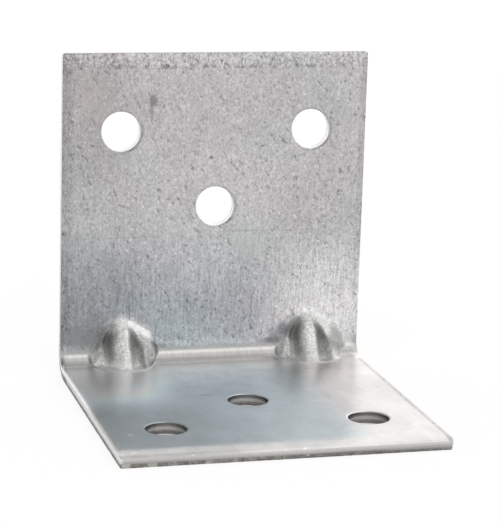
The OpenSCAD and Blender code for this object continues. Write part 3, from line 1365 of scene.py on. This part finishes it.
@dataclass(frozen=True)
class GalvanisedFinish:
    """Zinc dipped on rolled steel sheet, worn by the press, with bare steel on its cut edges."""

    wall_zinc: Colour = (0.575, 0.566, 0.572)
    base_zinc: Colour = (0.622, 0.7, 0.733)
    rib_zinc: Colour = (0.77, 0.77, 0.757)
    warm_zinc: Colour = (0.745, 0.715, 0.705)
    # Paler grey painted on the rolled-over front and the left side edge as their highlight.
    lip_highlight: Colour = (0.77, 0.765, 0.75)
    bend_zinc: Colour = (0.6, 0.588, 0.565)
    burnish: Colour = (0.70, 0.69, 0.67)
    torn: Colour = (0.36, 0.345, 0.33)
    bore: Colour = (0.5, 0.485, 0.47)
    # Dark grey painted into the ribs' flutes as their shade.
    flute_shade: Colour = (0.38, 0.39, 0.375)
    foot_zinc: Colour = (0.64, 0.66, 0.66)
    green_tint: Colour = (0.97, 1.0, 0.99)
    rose_tint: Colour = (0.99, 0.965, 0.985)
    warm_tint: Colour = (1.01, 0.992, 0.995)
    # Bluish cast painted low on the upright as a reflection of the base.
    base_reflection_tint: Colour = (0.965, 0.995, 1.02)
    blue_tint: Colour = (0.93, 0.97, 1.0)
    wall_rough: float = 0.36
    base_rough: float = 0.33
    bend_rough: float = 0.25

    def material(self, sheet: FoldedSheet) -> bpy.types.Material:
        """Makes the material of the sheet.

        Args:
            sheet: The sheet that it goes on, for the places of its bend and edges.

        Returns:
            The new material.
        """
        made = bpy.data.materials.new("galvanised_steel")
        made.use_nodes = True
        graph = ShaderGraph(made.node_tree)
        on = SheetSignals(graph, sheet)
        torn = self.torn_share(on)
        colour = graph.mix(on.cut, self.zinc_colour(on), self.cut_colour(on, torn))
        height = self.relief_height(on, torn)
        bump = graph.node("ShaderNodeBump", {}, {"Strength": 1.0, "Distance": MM, "Height": height})
        inputs = {
            "Base Color": colour, "Metallic": 1.0, "Roughness": self.gloss(on, torn),
            "Normal": bump.outputs[0],
        }
        shader = graph.node("ShaderNodeBsdfPrincipled", {}, inputs)
        graph.node("ShaderNodeOutputMaterial", {}, {"Surface": shader.outputs[0]})
        return made

    def zinc_colour(self, on: SheetSignals) -> Signal:
        """Colour of the zinc, from the upright over the bend to the base, with its ribs and marks.

        Painted shade lies in the flutes, the creases, beside the holes and along the top of the bend.

        Args:
            on: The sheet's signals.

        Returns:
            The colour.
        """
        graph, holes = on.graph, on.sheet.holes
        colour = graph.mix(on.base, self.wall_colour(on), self.base_colour(on))
        colour = graph.mix(on.bend, colour, self.bend_colour(on))
        # Painted shade at the rim of each hole on one side: towards the front on the base, down and right
        # on the upright.
        colour = graph.mix(self.rim_shade(on, holes[3:], -0.35) * 0.75, colour, DARK)
        ragged = (0.5 + on.speck * 3.6).clamp()
        colour = graph.mix(self.rim_shade(on, holes[:3], 1.0) * ragged, colour, DARK)
        colour = graph.mix(on.strain, colour, self.rib_colour(on))
        # Painted shade: the flutes filled with a dark grey.
        colour = graph.mix(on.flute * 0.95, colour, graph.shade(self.flute_shade, 1.0 + on.grit * 0.6))
        # Painted shade: DARK laid into the ribs' creases and along the top of the bend.
        crease = on.crease * (0.75 + on.drift * 1.6 + on.speck * 1.2)
        bend_shade_line = on.v.band(on.sheet.upright_run + 0.12, 0.45) * on.strain.step(0.15, 0.02)
        bend_shade_line = bend_shade_line * (0.6 + on.streak * 1.6)
        colour = graph.mix(crease + bend_shade_line * 0.5 * on.inner, colour, DARK)
        for mark in MARKS_AND_PAINTED_LIGHT:
            colour = graph.mix(mark.cover(on), colour, mark.tint)
        return colour

    def wall_colour(self, on: SheetSignals) -> Signal:
        """Colour of the upright: mottled, with ticks and pits, brushed towards the bend.

        Painted light and shade lie over it, with a painted bluish reflection low on its left and middle.

        Args:
            on: The sheet's signals.

        Returns:
            The colour.
        """
        fine = on.noise(FINE)
        dots = fine.step(-0.1, -0.2)
        glints = (on.noise(GLINTS) + on.drift * 0.3).step(0.15, 0.24)
        band_line = on.v.band(1.75, 0.4) * on.noise(BAND_BREAKS).step(-0.06, 0.12)
        tone = 1.0 + on.brushed * 0.8 + on.speck * (1.0 + 1.1 * on.end_band) + fine * 0.3 + on.cloud * 0.35
        tone = tone + glints * 0.35 - dots * 0.14 - on.pits * 0.15 - band_line * 0.35 - on.nicks * 0.32
        # Painted shade at the side edges, then painted light and shade over the upright.
        tone = (tone - on.patches(PAINTED_EDGE_SHADE, on.v)) * (1.0 + on.patches(WALL_PAINTED_LIGHT, on.v))
        colour = on.graph.shade(self.wall_zinc, tone)
        hue = on.noise(HUE)
        tints = (
            (hue.step(0.02, 0.16), self.green_tint),
            (hue.step(-0.02, -0.18), self.rose_tint),
            (on.v.step(26.0, 16.0), self.warm_tint),
            # Painted reflection: the base's bluish cast low on the upright's left and middle.
            (on.v.step(20.0, 32.0) * on.u.step(12.0, 4.0), self.base_reflection_tint),
        )
        for share, tint in tints:
            colour = on.graph.mix(share, colour, tint, "MULTIPLY")
        return colour

    def base_colour(self, on: SheetSignals) -> Signal:
        """Colour of the base: smooth and bluish, warm on its right.

        Painted light and shade lie over it, with a painted highlight at its rolled-over front.

        Args:
            on: The sheet's signals.

        Returns:
            The colour.
        """
        dashes = on.noise(DASHES)
        dashes = dashes.step(0.2, 0.28) - dashes.step(-0.2, -0.28)
        edge_zone = on.u.band(10.0, 8.0) * on.out.step(12.0, 4.0)
        tone = 1.0 + on.drift * 0.3 + on.cloud * 0.4 + dashes * (0.2 + 0.2 * edge_zone)
        # Painted highlight on the rolled-over front edge.
        painted_lip_light = 0.06 * on.rolled + on.patches(LIP_PAINTED_LIGHT, on.v) * on.back.band(1.3, 1.3)
        # Painted shade along the base's right side edge.
        side_edge_shade = on.u.band(19.55, 0.42) * (0.6 + on.speck * 2.0) * on.base
        tone = tone * (1.0 + painted_lip_light + on.patches(BASE_PAINTED_LIGHT, on.out) - 0.5 * side_edge_shade)
        # Painted light where the base leaves the bend, stronger at the far left; then the base's painted
        # glow.
        foot = (0.55 + 0.4 * on.far_left) * on.out.band(0.2, 0.9)
        right_back = on.u.step(10.0, 16.0) * on.out.step(8.0, 2.0)
        tone = tone + on.patches(BASE_PAINTED_GLOW, on.out) + foot - right_back * dashes * 0.3
        hue = on.graph.mix(on.drift.step(0.0, 0.2) * 0.6, self.base_zinc, self.blue_tint, "MULTIPLY")
        hue = on.graph.mix(on.out.step(9.0, 0.5) * 0.9, hue, self.foot_zinc)
        # Painted highlight: a paler grey on the rolled-over front and on the left side edge.
        hue = on.graph.mix(on.rolled + on.u.step(-19.0, -19.5) * 0.8, hue, self.lip_highlight)
        hue = on.graph.mix(on.u.step(6.0, 13.0), hue, self.warm_zinc)
        return on.graph.shade(hue, tone)

    def bend_colour(self, on: SheetSignals) -> Signal:
        """Colour of the bend: painted shade half way round, a painted highlight where it meets the base.

        Args:
            on: The sheet's signals.

        Returns:
            The colour.
        """
        # Painted shade half way round the arc; painted highlight where it meets the base, stronger at the
        # far left.
        arc = 1.0 - 0.16 * on.v.band(on.sheet.upright_run + 1.3, 0.6) + 0.4 * on.out.band(-0.15, 1.1)
        arc = arc + 0.35 * on.far_left * on.out.band(-0.1, 1.3)
        return on.graph.shade(self.bend_zinc, (1.0 + on.streak * 0.3 + on.drift * 0.2) * arc)

    def rib_colour(self, on: SheetSignals) -> Signal:
        """Colour of the ribs, with painted light and shade on their wings and painted light on the
        shoulders.

        Args:
            on: The sheet's signals.

        Returns:
            The colour.
        """
        # Painted light and shade on the wings, and a little painted light on the shoulders.
        lit = 0.45 * on.wing.step(0.0, 0.9) - 0.36 * on.wing.step(0.0, -0.9) + on.lobe * 0.08
        return on.graph.shade(self.rib_zinc, (1.0 + on.grit * 1.5 + on.drift * 0.4) * (1.0 + lit))

    def torn_share(self, on: SheetSignals) -> Signal:
        """How far a cut surface is torn and not burnished.

        Args:
            on: The sheet's signals.

        Returns:
            The share, from 0 to 1.
        """
        depth = on.d + on.tear * 0.3 - on.bore * 0.2 - 0.14 * on.u.step(8.0, 15.0)
        depth = depth + 0.4 * on.v.band(on.sheet.upright_run + 2.6, 5.0) * on.u.step(-19.0, -19.5)
        return depth.step(0.86, 1.12)

    def cut_colour(self, on: SheetSignals, torn: Signal) -> Signal:
        """Colour of the cut surfaces: burnished below the inner face, then torn, and the bores.

        The bores get painted light on the upright and painted shade on the base, and the left side face a
        painted highlight.

        Args:
            on: The sheet's signals.
            torn: How far the surface is torn.

        Returns:
            The colour.
        """
        graph = on.graph
        column = abs(on.u)
        side_column = abs(column - on.sheet.hole_pitch / 2)
        across = column.math("MINIMUM", column, side_column) / on.sheet.holes[0].r
        # Painted light: the upright's bores much lighter; painted shade: the base's bores darker at their
        # sides.
        bore_painted_light = 1.9 * on.wall + on.base * (0.88 - 0.45 * across * across)
        bore_tone = (0.74 + on.d.band(0.78, 0.3) * 0.6 + on.tear * 0.5) * bore_painted_light
        tone = (1.04 + on.hatch * 0.3 - 0.3 * on.d.step(0.45, 0.95)) * (1.0 - 0.1 * on.u.step(0.0, -10.0))
        # Painted highlight on the left side's cut face.
        tone = tone * (1.0 + 0.5 * on.u.step(-19.5, -19.9))
        burnished = graph.mix(on.bore, graph.shade(self.burnish, tone), graph.shade(self.bore, bore_tone))
        breaks = on.noise(TORN_BREAKS).step(0.0, 0.2) * on.u.step(10.0, 6.0) * (1.0 - on.bore)
        # Painted light: the torn band lighter in the upright's bores.
        torn_tone = (0.85 + on.tear * 1.5 + breaks * 1.05) * (1.0 + on.bore * on.wall * 1.2)
        return graph.mix(torn, burnished, graph.shade(self.torn, torn_tone))

    def gloss(self, on: SheetSignals, torn: Signal) -> Signal:
        """Roughness of the whole sheet.

        Args:
            on: The sheet's signals.
            torn: How far a cut surface is torn.

        Returns:
            The roughness, from 0 to 1.
        """
        base = self.base_rough + on.drift * 0.05 + on.patches(BASE_ROUGH, on.out)
        rough = (self.wall_rough + on.speck * 0.12) * on.wall + base * on.base + on.cloud * 0.08
        rough = rough * (1.0 - on.bend) + on.bend * self.bend_rough
        rough = rough + on.strain * 0.14 + on.flute * 0.34
        rough = rough + on.rolled * (0.04 + 0.18 * on.u.step(10.0, 2.0))
        return (rough * (1.0 - on.cut) + on.cut * (0.3 + torn * 0.32)).clamp()

    def relief_height(self, on: SheetSignals, torn: Signal) -> Signal:
        """Height of the fine relief.

        Args:
            on: The sheet's signals.
            torn: How far a cut surface is torn.

        Returns:
            The height in millimetres.
        """
        wall = on.speck * 0.014 + on.brushed * 0.01 - on.pits * 0.025 - on.nicks * 0.03
        wall = (wall + on.end_band * on.speck * 0.04) * (1.0 - on.bend * 0.8)
        cut = on.hatch * 0.006 * (1.0 - torn) + on.tear * 0.09 * torn
        zinc = wall * on.wall + on.drift * 0.009 * on.base + on.grit * 0.06 * on.strain
        return zinc * (1.0 - on.cut) + cut * on.cut

    def rim_shade(self, on: SheetSignals, holes: list[ScrewHole], rightwards: float) -> Signal:
        """How much painted shade the zinc gets beside holes, on one side of them.

        Args:
            on: The sheet's signals.
            holes: The holes.
            rightwards: How far that side lies to the right, for 1 down the pattern.

        Returns:
            The share, from 0 to 1.
        """
        total = 0.0
        for hole in holes:
            off_u, off_v = on.u - hole.u, on.v - hole.v
            away = (off_u * off_u + off_v * off_v) ** 0.5
            facing = ((off_u * rightwards + off_v) / away).step(0.1, 1.1)
            total = total + away.band(hole.r + 0.1 + hole.sag, 0.2) * facing
        return total


@dataclass(frozen=True)
class Softbox:
    """A square area lamp: its place and aim in metres, its side, its power and its colour."""

    name: str
    place: tuple[float, float, float]
    aim: tuple[float, float, float]
    side: float
    power: float
    colour: Colour = (1.0, 1.0, 1.0)

    def hang(self) -> bpy.types.Object:
        """Adds the lamp to the scene, hidden from the camera itself.

        Returns:
            The lamp's object.
        """
        lamp = bpy.data.lights.new(self.name, "AREA")
        lamp.shape = "SQUARE"
        lamp.size = self.side
        lamp.energy = self.power
        lamp.color = self.colour
        hung = bpy.data.objects.new(self.name, lamp)
        hung.location = self.place
        away = Vector(self.place) - Vector(self.aim)
        hung.rotation_euler = away.to_track_quat("Z", "Y").to_euler()
        hung.visible_camera = False
        bpy.context.scene.collection.objects.link(hung)
        return hung


@dataclass(frozen=True)
class Studio:
    """A pale floor, a white surround, soft lamps and the camera."""

    floor_radius: float = 2.5
    floor_colour: Colour = (0.9, 0.9, 0.9)
    floor_steps: int = 96
    floor_glow: float = 0.8
    glow_level: float = 1.04
    glow_from: float = 0.14
    glow_full: float = 0.5
    under_from: float = 0.0172
    under_full: float = 0.0185
    soft_level: float = 0.95
    front_level: float = 0.82
    back_level: float = 1.08
    top_left_level: float = 0.28
    top_right_level: float = 1.25
    zenith_loss: float = 0.3
    camera_place: tuple[float, float, float] = (-0.06897, -0.24834, 0.07910)
    camera_azimuth: float = -15.504
    camera_elevation: float = 13.192
    camera_roll: float = 1.705
    camera_lens: float = 149.44
    camera_sensor: float = 36.0
    softboxes: tuple[Softbox, ...] = (
        Softbox("key_softbox", (0.24, -0.84, 0.36), (0.0, 0.0, 0.02), 0.42, 0.28),
        Softbox("back_softbox", (0.45, 0.75, 0.22), (0.0, 0.0, 0.02), 0.5, 0.12),
    )

    def lay_floor(self) -> bpy.types.Object:
        """Adds the floor, which fades into the white surround away from the bracket.

        Returns:
            The floor's object.
        """
        turn = np.linspace(0.0, 2 * math.pi, self.floor_steps, endpoint=False)
        rim = np.column_stack([np.cos(turn), np.sin(turn), 0 * turn]) * self.floor_radius
        mesh = bpy.data.meshes.new("floor")
        mesh.from_pydata(rim.tolist(), [], [list(range(self.floor_steps))])
        floor = bpy.data.objects.new("floor", mesh)
        bpy.context.scene.collection.objects.link(floor)
        floor.data.materials.append(self.floor_material())
        return floor

    def floor_material(self) -> bpy.types.Material:
        """Makes a pale matt floor that shows as the white background does, and keeps the shadow.

        Returns:
            The floor's material.
        """
        made = bpy.data.materials.new("floor")
        made.use_nodes = True
        graph = ShaderGraph(made.node_tree)
        place = graph.signal("ShaderNodeNewGeometry", {}, {}, "Position")
        away = graph.signal("ShaderNodeVectorMath", {"operation": "LENGTH"}, {0: place}, "Value")
        shown = self.shown(graph)
        straight = graph.signal("ShaderNodeLightPath", {}, {}, "Is Camera Ray")
        x, y, _ = graph.parts(place)
        under = math.prod(abs(side).step(self.under_full, self.under_from) for side in (x, y))
        far = away.step(self.glow_from, self.glow_full)
        glow = shown * far + straight * self.floor_glow * (1.0 - far) * (1.0 - under)
        matt = graph.node("ShaderNodeBsdfDiffuse", {}, {"Color": self.floor_colour})
        white = graph.node("ShaderNodeEmission", {}, {"Color": WHITE, "Strength": self.glow_level})
        mixed = graph.node("ShaderNodeMixShader", {}, {0: glow, 1: matt.outputs[0], 2: white.outputs[0]})
        graph.node("ShaderNodeOutputMaterial", {}, {"Surface": mixed.outputs[0]})
        return made

    def shown(self, graph: ShaderGraph) -> Signal:
        """Tells the rays that show a background: straight, mirrored or let through.

        Args:
            graph: The graph that the nodes are added to.

        Returns:
            1 for such rays and 0 for the others.
        """
        path = graph.node("ShaderNodeLightPath", {}, {})
        straight = Signal(graph, path.outputs["Is Camera Ray"])
        mirrored = Signal(graph, path.outputs["Is Glossy Ray"])
        passed = Signal(graph, path.outputs["Is Transmission Ray"])
        return (straight + mirrored + passed).clamp()

    def light_world(self) -> None:
        """Makes the surround: white where it shows, softer towards the camera's side in the metal."""
        world = bpy.data.worlds.new("surround")
        world.use_nodes = True
        bpy.context.scene.world = world
        graph = ShaderGraph(world.node_tree)
        x, y, z = graph.parts(graph.signal("ShaderNodeTexCoord", {}, {}, "Generated"))
        straight = graph.signal("ShaderNodeLightPath", {}, {}, "Is Camera Ray")
        backwards = (y + x * 0.25).step(-0.25, 0.6)
        mirrored = self.front_level + (self.back_level - self.front_level) * backwards
        rightwards = x.step(-0.55, 0.5)
        upper = self.top_left_level + (self.top_right_level - self.top_left_level) * rightwards
        upwards = z.step(0.25, 0.72)
        mirrored = mirrored * (1.0 - upwards) + upper * upwards
        mirrored = mirrored * (1.0 - self.zenith_loss * z.step(0.86, 0.97))
        shown = self.shown(graph)
        level = straight + (1.0 - straight) * (mirrored * shown + self.soft_level * (1.0 - shown))
        background = graph.node("ShaderNodeBackground", {}, {"Color": WHITE, "Strength": level})
        graph.node("ShaderNodeOutputWorld", {}, {"Surface": background.outputs[0]})

    def set_camera(self) -> bpy.types.Object:
        """Adds the camera at the photograph's viewing angle.

        Returns:
            The camera's object.
        """
        azimuth, elevation, roll = (
            math.radians(a) for a in (self.camera_azimuth, self.camera_elevation, self.camera_roll))
        level = math.cos(elevation)
        back = Vector((math.sin(azimuth) * level, -math.cos(azimuth) * level, math.sin(elevation)))
        level_right = Vector((0.0, 0.0, 1.0)).cross(back).normalized()
        level_up = back.cross(level_right)
        right = math.cos(roll) * level_right + math.sin(roll) * level_up
        up = -math.sin(roll) * level_right + math.cos(roll) * level_up
        data = bpy.data.cameras.new("camera")
        data.lens = self.camera_lens
        data.sensor_width = self.camera_sensor
        camera = bpy.data.objects.new("camera", data)
        turned = Matrix((right, up, back)).transposed().to_4x4()
        camera.matrix_world = Matrix.Translation(Vector(self.camera_place)) @ turned
        bpy.context.scene.collection.objects.link(camera)
        bpy.context.scene.camera = camera
        return camera

    def set_up(self) -> None:
        """Builds the whole studio."""
        bpy.context.scene.view_settings.view_transform = "Standard"
        self.light_world()
        self.lay_floor()
        for softbox in self.softboxes:
            softbox.hang()
        self.set_camera()


def main() -> None:
    """Builds the bracket and its studio."""
    logging.basicConfig(level=logging.INFO, format="%(name)s: %(message)s")
    low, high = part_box("bracket")
    size = (high - low) / MM
    sheet = FoldedSheet(width=size.x, height=size.z, reach=size.y)
    piece = sheet.build()
    sheet.dress(piece, GalvanisedFinish())
    log.info("%s: %d points, %d triangles", piece.name, len(piece.data.vertices), len(piece.data.polygons))
    Studio().set_up()
    log.info("studio: floor, surround, lamps and camera")


if __name__ == "__main__":
    main()
